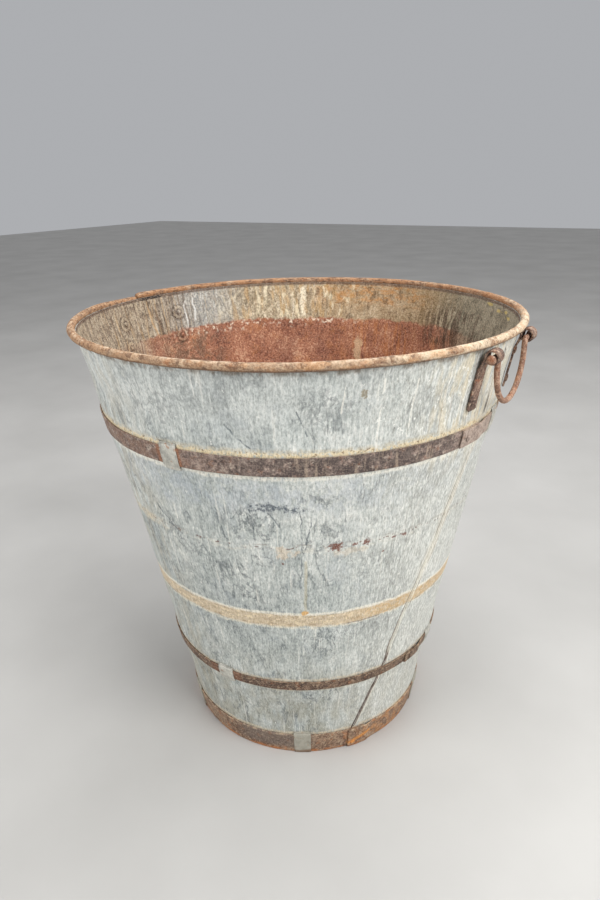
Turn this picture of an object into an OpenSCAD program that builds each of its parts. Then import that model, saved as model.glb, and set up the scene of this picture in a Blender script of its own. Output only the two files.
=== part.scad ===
// Tapered galvanised tub, hooped with iron, with two drop handles.
// The tub stands on the XY plane with its axis on Z, and the handles are on +X and -X.

/* [Wall] */
// Height of the sheet wall
wall_h = 727; // [650:1:800]
// Outer radius of the wall at its top edge
top_r = 351.5; // [330:0.1:370]
// Outer radius of the wall at the floor
foot_r = 209.5; // [190:0.5:225]
// Thickness of the galvanised sheet
sheet_t = 1.5; // [1:0.1:2.5]

/* [Seams] */
// Distance from the cone's apex to the seam's line on the flat sheet
seam_offset = 350; // [250:1:420]
// Width of the folded seam
seam_w = 7; // [5:0.5:10]
// How far the folded seam stands proud of the wall
seam_proud = 1.5; // [1:0.1:2.5]

/* [Bottom plate] */
// Height of the bottom plate's underside
plate_z = 22; // [15:1:40]

/* [Rim bar] */
// Diameter of the round bar at the rim
rim_d = 13; // [10:0.5:16]
// Height of the bar's centre above the wall's top edge, whose outer corner it rests on
rim_rise = 4; // [3:0.5:5]
// Gap between the bar's butted ends, in degrees
rim_gap = 0.4; // [0.2:0.1:1]
// Direction of the bar's butt joint, in degrees from +X
rim_joint_az = 182.5; // [170:0.5:190]

/* [Hoops] */
// Thickness of the hoop iron
hoop_t = 3; // [2:0.5:4]
// Height of the upper hoop's lower edge
upper_hoop_z = 575; // [540:1:590]
// Width of the upper hoop
upper_hoop_w = 30; // [25:1:35]
// Height of the lower hoop's lower edge
lower_hoop_z = 161; // [140:1:200]
// Width of the lower hoop
lower_hoop_w = 20; // [15:1:25]
// Width of the foot hoop
foot_hoop_w = 46; // [35:1:55]
// Diameter of a hoop rivet's head
hoop_rivet_d = 10; // [8:0.5:12]

/* [Keepers] */
// Width of a keeper strap round the hoop
keeper_w = 28; // [22:1:40]
// How far a keeper's flange runs past the hoop's edge
keeper_flange = 6; // [4:0.5:9]
// Directions of the keepers on the upper and lower hoops, in degrees from +X
keeper_az = [6, 91, 186, 271];
// Directions of the keepers on the foot hoop, in degrees from +X
foot_keeper_az = [12.5, 121.3, 236.7, 301.3];

/* [Handles] */
// Diameter of the handle's round bar
handle_d = 8.6; // [7:0.1:10]
// Distance between the centres of the handle's legs
handle_w = 119; // [110:1:122]
// Straight length of each leg below its elbow
leg_h = 11; // [5:1:20]
// Radius of the elbow at the top of each leg
elbow_r = 6; // [5:0.5:6]
// Height of the handle's pivot
pivot_z = 710; // [708:0.5:710.5]

/* [Brackets] */
// Distance from the tub's axis to the line through the two eyes
eye_x = 356; // [355:0.5:358]
// Distance of an eye's centre from the XZ plane
eye_y = 75.7; // [75.5:0.1:77]
// Width of the bracket's strap
strap_w = 20; // [18:1:20]
// Thickness of the bracket's strap
strap_t = 3.6; // [3.2:0.1:4]
// Radius of the eye's hole
eye_hole_r = 7; // [6.5:0.1:7.2]
// Gap under the handle's pin in the eye
pin_gap = 0.3; // [0.3:0.1:0.5]
// Height of the strap's lower end
strap_z = 632; // [620:1:640]
// Heights of the strap's two rivets
strap_rivet_z = [645, 689];
// Diameter of the bracket rivet's shank
rivet_d = 6; // [5:0.5:8]
// Diameter of the bracket rivet's head
rivet_head_d = 12; // [10:0.5:14]
// Diameter of the washer inside the wall
washer_d = 28; // [20:1:32]

/* [Hidden] */

zinc = "lightslategray";
keeper_zinc = "silver";
rust = "sienna";
dark_iron = "dimgray";

// The cone: outer radius at a height, and what follows from its taper
function wall_r(z) = foot_r + (top_r - foot_r) * z / wall_h;
function inner_r(z) = wall_r(z) - sheet_t;
taper = atan((top_r - foot_r) / wall_h);
// Distance along the wall from the cone's apex to a height
function apex_dist(z) = wall_r(z) / sin(taper);
// The seam is a straight line on the flat sheet, so it leans round the cone
function seam_az(z) = (acos(seam_offset / apex_dist(z)) - acos(seam_offset / apex_dist(wall_h)))
    / sin(taper);
seam_overrun = 2;
seam_rings = 20;

// Folded seam: its section, from the seam line back over its own sheet
seam_edge = 0.6;
seam_bevel = 1;
seam_root = -0.7;

hoop_fit = 0.02;
lap_gap = 0.2;
lap_start = -13.6;
lap_end = -3.5;
lap_inner_end = -5.5;
lap_joggle = -5;
lap_rivet_az = -11;
foot_lap_turn = -24;
foot_rivet_z = [12, 34];
hoop_rivet_shank = 5;
hoop_rivet_dome = 2.6;
seam_hoop_gap = 1;

rim_r = rim_d / 2;
rim_z = wall_h + rim_rise;
rim_fit = 0.05;
rim_ring_r = top_r + sqrt(rim_r * rim_r - rim_rise * rim_rise) + rim_fit;

pin_r = handle_d / 2;
leg_y = handle_w / 2;
eye_in = leg_y + elbow_r + 0.2;
eye_z = pivot_z - pin_r - pin_gap + eye_hole_r;
eye_r = eye_hole_r + strap_t;
eye_az = atan(eye_y / eye_x);
eye_ring_r = norm([eye_x, eye_y]);
neck_z = 697;
neck_turn_z = 695;
strap_corner = 6;
head_gap = 0.4;
head_d = 14;
head_h = 5;
bow_z = pivot_z - elbow_r - leg_h;

washer_t = 2;
tail_d = 10;
tail_h = 3.5;
washer_seat = 0.32;
round_fn = 48;

// A band that lies on the wall between two heights, a gap away and t thick, over some degrees
module band(z0, z1, gap, t, start, sweep) {
    rotate_extrude(angle = sweep, start = start, $fn = 180)
        polygon([
            [wall_r(z0) + gap, z0],
            [wall_r(z0) + gap + t, z0],
            [wall_r(z1) + gap + t, z1],
            [wall_r(z1) + gap, z1]
        ]);
}

// A closed solid through rings of n points each, the lowest ring first, anticlockwise from above
module loft(points, n) {
    steps = len(points) / n - 1;
    top = n * steps;
    sides = [for (i = [0 : steps - 1]) for (j = [0 : n - 1]) for (half = [0, 1])
        let (a = n * i + j, b = n * i + (j + 1) % n)
        half == 0 ? [a, b + n, b] : [a, a + n, b + n]];
    polyhedron(
        points = points,
        faces = concat(
            [[for (j = [0 : n - 1]) j]], sides, [[for (j = [n - 1 : -1 : 0]) top + j]]
        )
    );
}

// Half of space on the positive side of the two seams, as a leaning stack of half planes
module seam_half() {
    reach = top_r + 20;
    step = (wall_h + 2 * seam_overrun) / seam_rings;
    corners = [[reach, 0], [reach, reach], [-reach, reach], [-reach, 0]];
    function turned(p, a, z) = [p.x * cos(a) - p.y * sin(a), p.x * sin(a) + p.y * cos(a), z];
    loft(
        [for (i = [0 : seam_rings]) for (c = corners)
            let (z = i * step - seam_overrun) turned(c, seam_az(z), z)],
        len(corners)
    );
}

// The folded seam between two heights, standing on the sheet beside the seam line
module seam_fold(z0, z1, steps) {
    section = [
        [seam_edge, seam_root],
        [seam_edge, seam_proud],
        [seam_w - seam_bevel, seam_proud],
        [seam_w, seam_root]
    ];
    function placed(p, z) =
        let (r = wall_r(z) + p.y, a = seam_az(z) + p.x / wall_r(z) * 180 / PI)
        [r * cos(a), r * sin(a), z];
    loft(
        [for (i = [0 : steps]) for (p = section) placed(p, z0 + (z1 - z0) * i / steps)],
        len(section)
    );
}

// Turns its children from +X to a height on the wall, looking out along the wall's normal
module on_wall(az, z, out = 0) {
    rotate([0, 0, az])
        translate([wall_r(z), 0, z])
            rotate([0, 90 + taper, 0])
                translate([0, 0, out])
                    children();
}

// Half of the wall: from the seam at +X round through +Y to the seam at -X
module half_wall() {
    rivet_holes = [for (s = [0, 180]) for (side = [-1, 1]) for (z = strap_rivet_z) [s + side * eye_az, z]];
    difference() {
        union() {
            intersection() {
                rotate_extrude($fn = 180)
                    polygon([
                        [inner_r(0), 0],
                        [wall_r(0), 0],
                        [wall_r(wall_h), wall_h],
                        [inner_r(wall_h), wall_h]
                    ]);
                seam_half();
            }
            seam_fold(foot_hoop_w + seam_hoop_gap, lower_hoop_z - seam_hoop_gap, 4);
            seam_fold(lower_hoop_z + lower_hoop_w + seam_hoop_gap, upper_hoop_z - seam_hoop_gap, 10);
            seam_fold(upper_hoop_z + upper_hoop_w + seam_hoop_gap, rim_z - rim_d, 4);
        }
        for (h = rivet_holes)
            on_wall(h[0], h[1], -5)
                cylinder(d = rivet_d, h = 10, $fn = round_fn);
    }
}

module wall_sheet_front() {
    color(zinc)
        rotate([0, 0, 180])
            half_wall();
}

module wall_sheet_rear() {
    color(zinc)
        half_wall();
}

// Pressed disc with a flange turned down inside the foot
module bottom_plate() {
    flange_z = 1;
    plate_top = plate_z + sheet_t;
    color(zinc)
        rotate_extrude($fn = 180)
            polygon([
                [0, plate_z],
                [inner_r(plate_z) - sheet_t, plate_z],
                [inner_r(flange_z) - sheet_t, flange_z],
                [inner_r(flange_z), flange_z],
                [inner_r(plate_top), plate_top],
                [0, plate_top]
            ]);
}

module rim_bar() {
    color(rust)
        rotate_extrude(angle = 360 - rim_gap, start = rim_joint_az + rim_gap / 2, $fn = 180)
            translate([rim_ring_r, rim_z])
                circle(r = rim_r, $fn = round_fn);
}

// One strip bent round the wall, its outer end lapped over its inner end
module hoop(z, w, turn, rivet_heights) {
    difference() {
        rotate([0, 0, turn])
            union() {
                band(z, z + w, hoop_fit, hoop_t, lap_joggle, 360 - lap_joggle + lap_inner_end);
                band(z, z + w, hoop_fit, 2 * hoop_t + lap_gap, lap_joggle, lap_end - lap_joggle);
                band(z, z + w, hoop_fit + hoop_t + lap_gap, hoop_t, lap_start, lap_end - lap_start);
            }
        for (h = rivet_heights)
            on_wall(turn + lap_rivet_az, h, -1)
                cylinder(d = hoop_rivet_shank, h = 10, $fn = round_fn);
    }
}

module hoop_rivet(turn, z) {
    stack = (hoop_fit + 2 * hoop_t + lap_gap) * cos(taper);
    on_wall(turn + lap_rivet_az, z) {
        translate([0, 0, 0.1])
            cylinder(d = hoop_rivet_shank, h = stack, $fn = round_fn);
        translate([0, 0, stack])
            cylinder(d1 = hoop_rivet_d, d2 = hoop_rivet_d / 2, h = hoop_rivet_dome, $fn = round_fn);
    }
}

module upper_hoop() {
    color(dark_iron)
        hoop(upper_hoop_z, upper_hoop_w, 0, [upper_hoop_z + upper_hoop_w / 2]);
}

module lower_hoop() {
    color(dark_iron)
        hoop(lower_hoop_z, lower_hoop_w, 0, [lower_hoop_z + lower_hoop_w / 2]);
}

module foot_hoop() {
    color(rust)
        hoop(0, foot_hoop_w, foot_lap_turn, foot_rivet_z);
}

module upper_hoop_rivet() {
    color(dark_iron)
        hoop_rivet(0, upper_hoop_z + upper_hoop_w / 2);
}

module lower_hoop_rivet() {
    color(dark_iron)
        hoop_rivet(0, lower_hoop_z + lower_hoop_w / 2);
}

module foot_hoop_rivets() {
    color(rust)
        for (z = foot_rivet_z)
            hoop_rivet(foot_lap_turn, z);
}

// A strap of sheet over a hoop from z0 to z1, with a flange on the wall past each edge
module keeper(z0, z1, az, low_flange) {
    base = hoop_fit + hoop_t;
    low = z0 - low_flange;
    high = z1 + keeper_flange;
    step = sheet_t + 0.3;
    sweep = keeper_w / wall_r(z0) * 180 / PI;
    low_inner = low_flange > 0 ? [[wall_r(low), low], [wall_r(z0) , z0 - 0.1]] : [];
    low_outer = low_flange > 0
        ? [[wall_r(z0 - step) + base + sheet_t, z0 - step],
           [wall_r(z0 - step) + sheet_t, z0 - step],
           [wall_r(low) + sheet_t, low]]
        : [[wall_r(z0) + base + sheet_t, z0]];
    color(keeper_zinc)
        rotate_extrude(angle = sweep, start = az - sweep / 2, $fn = 180)
            polygon(concat(
                low_inner,
                [[wall_r(z0) + base, low_flange > 0 ? z0 - 0.1 : z0],
                 [wall_r(z1) + base, z1 + 0.1],
                 [wall_r(z1), z1 + 0.1],
                 [wall_r(high), high],
                 [wall_r(high) + sheet_t, high],
                 [wall_r(z1 + step) + sheet_t, z1 + step],
                 [wall_r(z1 + step) + base + sheet_t, z1 + step]],
                low_outer
            ));
}

module upper_keeper(i) {
    keeper(upper_hoop_z, upper_hoop_z + upper_hoop_w, keeper_az[i - 1], keeper_flange);
}

module lower_keeper(i) {
    keeper(lower_hoop_z, lower_hoop_z + lower_hoop_w, keeper_az[i - 1], keeper_flange);
}

module foot_keeper(i) {
    keeper(0, foot_hoop_w, foot_keeper_az[i - 1], 0);
}

// A strap up the wall that leaves it at a neck and ends in an eye; side is 1 or -1 along Y
module bracket(side) {
    plate_gap = 0.05;
    ring_in = eye_ring_r - eye_r;
    color(rust)
        difference() {
            union() {
                rotate([0, 0, side * eye_az])
                    rotate([90, 0, 0])
                        linear_extrude(strap_w, center = true)
                            polygon([
                                [wall_r(strap_z) + plate_gap, strap_z],
                                [wall_r(strap_z) + plate_gap + strap_t, strap_z],
                                [wall_r(neck_turn_z) + plate_gap + strap_t, neck_turn_z],
                                [ring_in + strap_t, eye_z - 6],
                                [ring_in + strap_t, eye_z],
                                [ring_in, eye_z],
                                [wall_r(neck_z) + plate_gap, neck_z]
                            ]);
                translate([eye_x, side * (eye_in + strap_w / 2), eye_z])
                    rotate([90, 0, 0])
                        cylinder(r = eye_r, h = strap_w, center = true, $fn = round_fn);
            }
            translate([eye_x, side * (eye_in + strap_w / 2), eye_z])
                rotate([90, 0, 0])
                    cylinder(r = eye_hole_r, h = 2 * strap_w, center = true, $fn = round_fn);
            for (z = strap_rivet_z)
                on_wall(side * eye_az, z, -2)
                    cylinder(d = rivet_d, h = 10, $fn = round_fn);
            // The lower corners are cut off
            for (corner = [-1, 1])
                rotate([0, 0, side * eye_az])
                    translate([wall_r(strap_z), corner * strap_w / 2, strap_z])
                        rotate([45, 0, 0])
                            cube([6 * strap_t, strap_corner, strap_corner], center = true);
        }
}

module bracket_rivets() {
    strap_out = 0.05 + strap_t * cos(taper);
    color(rust)
        for (side = [-1, 1])
            for (z = strap_rivet_z)
                on_wall(side * eye_az, z) {
                    translate([0, 0, -sheet_t - washer_t - washer_seat])
                        cylinder(d = rivet_d, h = sheet_t + washer_t + washer_seat + strap_out, $fn = round_fn);
                    translate([0, 0, strap_out])
                        cylinder(d1 = rivet_head_d, d2 = rivet_head_d / 2, h = 3.5, $fn = round_fn);
                    translate([0, 0, -sheet_t - washer_t - washer_seat - tail_h])
                        cylinder(d1 = tail_d / 2, d2 = tail_d, h = tail_h, $fn = round_fn);
                }
}

module washers() {
    color(rust)
        for (side = [-1, 1])
            for (z = strap_rivet_z)
                on_wall(side * eye_az, z, -sheet_t - washer_t - washer_seat)
                    difference() {
                        cylinder(d = washer_d, h = washer_t, $fn = round_fn);
                        translate([0, 0, -1])
                            cylinder(d = rivet_d, h = washer_t + 2, $fn = round_fn);
                    }
}

// A quarter turn of bar from a leg that points down to a pin that points along Y
module elbow() {
    translate([0, leg_y + elbow_r, pivot_z - elbow_r])
        rotate([90, 0, 90])
            rotate_extrude(angle = 90, start = 90, $fn = round_fn)
                translate([elbow_r, 0])
                    circle(r = pin_r, $fn = round_fn);
}

module handle_side() {
    pin_end = eye_in + strap_w + head_gap;
    elbow();
    translate([0, leg_y, bow_z])
        cylinder(r = pin_r, h = leg_h, $fn = round_fn);
    translate([0, leg_y + elbow_r, pivot_z])
        rotate([-90, 0, 0])
            cylinder(r = pin_r, h = pin_end - leg_y - elbow_r, $fn = round_fn);
    translate([0, pin_end, pivot_z])
        rotate([-90, 0, 0])
            cylinder(d1 = head_d, d2 = head_d - 4, h = head_h, $fn = round_fn);
}

// The handle hangs in the plane through its two eyes
module handle() {
    color(rust)
        translate([eye_x, 0, 0]) {
            handle_side();
            mirror([0, 1, 0])
                handle_side();
            translate([0, 0, bow_z])
                rotate([90, 0, 90])
                    rotate_extrude(angle = 180, start = 180, $fn = 96)
                        translate([leg_y, 0])
                            circle(r = pin_r, $fn = round_fn);
        }
}

module left() {
    rotate([0, 0, 180])
        children();
}

wall_sheet_front();
wall_sheet_rear();
bottom_plate();
rim_bar();
upper_hoop();
lower_hoop();
foot_hoop();
upper_hoop_rivet();
lower_hoop_rivet();
foot_hoop_rivets();
for (i = [1 : 4]) upper_keeper(i);
for (i = [1 : 4]) lower_keeper(i);
for (i = [1 : 4]) foot_keeper(i);
bracket(-1);  // bracket_right_front
bracket(1);  // bracket_right_rear
left() bracket(1);  // bracket_left_front
left() bracket(-1);  // bracket_left_rear
bracket_rivets();  // bracket_rivets_right
left() bracket_rivets();  // bracket_rivets_left
washers();  // washers_right
left() washers();  // washers_left
handle();  // handle_right
left() handle();  // handle_left
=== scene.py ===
"""The looks of a weathered galvanised tub with iron hoops and two drop handles.

The tub stands on Z = 0 with its axis on Z, and the handles are on +X and -X.
Directions round the tub are in degrees from +X, and heights are above the floor. Lengths are in
millimetres, but for the floor, the lights and the camera, which are in metres as Blender has them.
"""

import math

import bpy
from mathutils import Matrix, Vector, noise


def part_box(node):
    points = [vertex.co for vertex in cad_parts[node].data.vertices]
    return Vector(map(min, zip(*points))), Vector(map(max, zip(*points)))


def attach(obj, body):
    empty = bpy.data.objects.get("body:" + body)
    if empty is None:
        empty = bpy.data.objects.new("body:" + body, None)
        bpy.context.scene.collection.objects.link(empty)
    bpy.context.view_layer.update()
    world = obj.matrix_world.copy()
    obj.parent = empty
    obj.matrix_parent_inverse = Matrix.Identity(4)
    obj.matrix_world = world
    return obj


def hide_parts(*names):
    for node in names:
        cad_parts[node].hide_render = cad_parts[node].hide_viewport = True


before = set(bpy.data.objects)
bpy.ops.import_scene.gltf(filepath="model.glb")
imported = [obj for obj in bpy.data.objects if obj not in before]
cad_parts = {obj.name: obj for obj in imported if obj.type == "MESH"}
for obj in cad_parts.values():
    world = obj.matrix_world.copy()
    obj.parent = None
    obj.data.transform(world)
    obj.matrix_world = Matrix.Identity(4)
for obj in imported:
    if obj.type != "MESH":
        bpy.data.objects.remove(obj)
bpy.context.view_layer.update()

MM = 0.001

# ---------------------------------------------------------------- sizes, as in the CAD part

WALL_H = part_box("wall_sheet_rear")[1].z / MM
TOP_R = 351.5
FOOT_R = 209.5
SHEET_T = 1.5
TAPER = math.atan((TOP_R - FOOT_R) / WALL_H)

SEAM_OFFSET = 350
SEAM_W = 7
SEAM_PROUD = 1.5

RIM_R = 6.5
RIM_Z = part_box("rim_bar")[1].z / MM - RIM_R
RIM_JOINT = 182.5

UPPER_HOOP = tuple(corner.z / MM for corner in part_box("upper_hoop"))
LOWER_HOOP = tuple(corner.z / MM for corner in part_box("lower_hoop"))
FOOT_HOOP = tuple(corner.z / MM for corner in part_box("foot_hoop"))
HOOP_T = 3
HOOP_FIT = 0.02
LAP_GAP = 0.2
LAP_START = -13.6
LAP_INNER_END = -5.5
LAP_RIVET = -11
FOOT_LAP_TURN = -24
FOOT_RIVET_Z = (12, 34)

KEEPER_W = 28
KEEPER_FLANGE = 6
KEEPERS = (6, 91, 186, 271)
FOOT_KEEPERS = (12.5, 121.3, 236.7, 301.3)

PLATE_Z = 22

EYE_X = 356
EYE_Y = 75.7
EYE_Z = 712.4
EYE_R = 7
STRAP_W = 20
STRAP_T = 3.6
STRAP_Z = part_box("bracket_right_front")[0].z / MM
STRAP_GAP = 0.05
NECK_Z = 695
STRAP_CHAMFER = 3
STRAP_RIVET_Z = (645, 689)
WASHER_IN = SHEET_T + 2.3

PIVOT_Z = 710
BAR_R = 4.3
LEG_Y = 59.5
ELBOW_R = 6
BOW_Z = 693
HEAD_R = 7
HEAD_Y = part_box("handle_right")[1].y / MM


def wall_r(z):
    """Outer radius of the wall at a height."""
    return FOOT_R + (TOP_R - FOOT_R) * z / WALL_H


def wall_point(az, z, out=0.0):
    """A point on the wall, or that far out from it."""
    r = wall_r(z) + out
    a = math.radians(az)
    return Vector((r * math.cos(a), r * math.sin(a), z))


def seam_az(z):
    """Direction of the seam, which is a straight line on the flat sheet and so leans round the cone."""
    apex = wall_r(z) / math.sin(TAPER)
    top = TOP_R / math.sin(TAPER)
    turn = math.acos(SEAM_OFFSET / apex) - math.acos(SEAM_OFFSET / top)
    return math.degrees(turn / math.sin(TAPER))


def smooth(x, low, high):
    """0 below low, 1 above high, and an S between them."""
    t = min(max((x - low) / (high - low), 0.0), 1.0)
    return t * t * (3 - 2 * t)


def wander(point, size, seed=0.0):
    """Smooth noise of about -1 to 1, with lumps of that size."""
    return noise.noise(point / size + Vector((seed, 3.1 * seed, 7.7 * seed)))


# ---------------------------------------------------------------- meshes

def grid_faces(rows, cols, start=0, wrap=False):
    """Quads of a grid of points stored row by row."""
    faces = []
    for i in range(rows - 1):
        for j in range(cols if wrap else cols - 1):
            k = (j + 1) % cols
            a, b = start + i * cols, start + (i + 1) * cols
            faces.append((a + j, a + k, b + k, b + j))
    return faces


def new_mesh(name, verts, faces):
    mesh = bpy.data.meshes.new(name)
    mesh.from_pydata([tuple(v) for v in verts], [], faces)
    mesh.update()
    return mesh


def new_object(name, data):
    made = bpy.data.objects.new(name, data)
    bpy.context.scene.collection.objects.link(made)
    return made


def make_piece(name, shape, materials, node, body="tub"):
    """A smooth-shaded object that stands for a CAD node and rides on a body."""
    verts, faces = shape
    piece = new_object(name, new_mesh(name, [v * MM for v in verts], faces))
    for material in materials:
        piece.data.materials.append(material)
    piece.data.shade_smooth()
    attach(piece, body)
    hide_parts(node)
    return piece


def circle(radius, steps):
    """Pairs of coordinates round a circle."""
    turns = [2 * math.pi * k / steps for k in range(steps)]
    return [(radius * math.cos(a), radius * math.sin(a)) for a in turns]


def sweep(rings, closed=False):
    """Points and faces of a skin through rings of points, with flat ends unless it is closed."""
    n = len(rings[0])
    verts = [p for ring in rings for p in ring]
    faces = grid_faces(len(rings), n, wrap=True)
    last = (len(rings) - 1) * n
    if closed:
        faces += [(last + j, last + (j + 1) % n, (j + 1) % n, j) for j in range(n)]
    else:
        faces.append(tuple(range(n - 1, -1, -1)))
        faces.append(tuple(last + j for j in range(n)))
    return verts, faces


def joined(parts):
    """One list of points and one of faces from several."""
    verts, faces = [], []
    for v, f in parts:
        faces += [tuple(i + len(verts) for i in face) for face in f]
        verts += v
    return verts, faces


def roughened(shape, size, depth, seed=0.0):
    """The same shape with its points moved inwards by noise, as forging and rust leave iron."""
    verts, faces = shape
    mesh = new_mesh("rough", verts, faces)
    inward = [-v.normal * depth * (0.5 + 0.5 * wander(v.co, size, seed)) for v in mesh.vertices]
    bpy.data.meshes.remove(mesh)
    return [Vector(v) + d for v, d in zip(verts, inward)], faces


def rounded_box(w, h, radius, steps=3, along=6):
    """Outline of a rectangle with round corners, anticlockwise, with extra points on its long sides."""
    outline = []
    corners = ((w / 2, h / 2, 0), (-w / 2, h / 2, 90), (-w / 2, -h / 2, 180), (w / 2, -h / 2, 270))
    for i, (x, y, turn) in enumerate(corners):
        cx = x - math.copysign(radius, x)
        cy = y - math.copysign(radius, y)
        for k in range(steps + 1):
            a = math.radians(turn + 90 * k / steps)
            outline.append((cx + radius * math.cos(a), cy + radius * math.sin(a)))
        if i % 2:
            reach = h - 2 * radius
            sign = 1 if i == 3 else -1
            for k in range(1, along):
                outline.append((x, sign * (k / along - 0.5) * reach))
    return outline


def turned(profile, place, steps=24, closed=False):
    """A lathe shape about place's Z axis from (radius, height) pairs: solid, or a closed ring."""
    rings = [[place @ Vector((x, y, h)) for x, y in circle(r, steps)] for r, h in profile]
    return sweep(rings, closed)


def half_turned(verts):
    """Points moved to the other side of the tub."""
    return [Vector((-v.x, -v.y, v.z)) for v in verts]


def on_wall(az, z):
    """A place on the wall whose Z axis points straight out of it."""
    turn = Matrix.Rotation(math.radians(az), 4, "Z") @ Matrix.Rotation(math.pi / 2 + TAPER, 4, "Y")
    return Matrix.Translation(wall_point(az, z)) @ turn


# ---------------------------------------------------------------- materials

def srgb(red, green, blue):
    """A colour for a shader from 0-255 display values."""
    linear = []
    for c in (red, green, blue):
        c /= 255
        linear.append(c / 12.92 if c <= 0.04045 else ((c + 0.055) / 1.055) ** 2.4)
    return (*linear, 1.0)


class Value:
    """A number that varies over a surface. Arithmetic on it adds Math nodes to the material."""

    def __init__(self, tree, socket):
        self.tree = tree
        self.socket = socket

    def math(self, operation, *others):
        node = self.tree.nodes.new("ShaderNodeMath")
        node.operation = operation
        for slot, item in zip(node.inputs, (self, *others)):
            if isinstance(item, Value):
                self.tree.links.new(item.socket, slot)
            else:
                slot.default_value = item
        return Value(self.tree, node.outputs[0])

    def __add__(self, other):
        return self.math("ADD", other)

    def __sub__(self, other):
        return self.math("SUBTRACT", other)

    def __mul__(self, other):
        return self.math("MULTIPLY", other)

    def __truediv__(self, other):
        return self.math("DIVIDE", other)

    def squared(self):
        return self * self

    def root(self):
        return self.math("SQRT")

    def size(self):
        return self.math("ABSOLUTE")

    def step(self, low, high):
        """0 at low, 1 at high, and an S between them; low may be above high."""
        node = self.tree.nodes.new("ShaderNodeMapRange")
        node.interpolation_type = "SMOOTHSTEP"
        node.inputs["From Min"].default_value = low
        node.inputs["From Max"].default_value = high
        self.tree.links.new(self.socket, node.inputs["Value"])
        return Value(self.tree, node.outputs["Result"])

    def fade(self, low, high):
        """The same for a length, between two others in millimetres."""
        return self.step(low * MM, high * MM)


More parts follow.
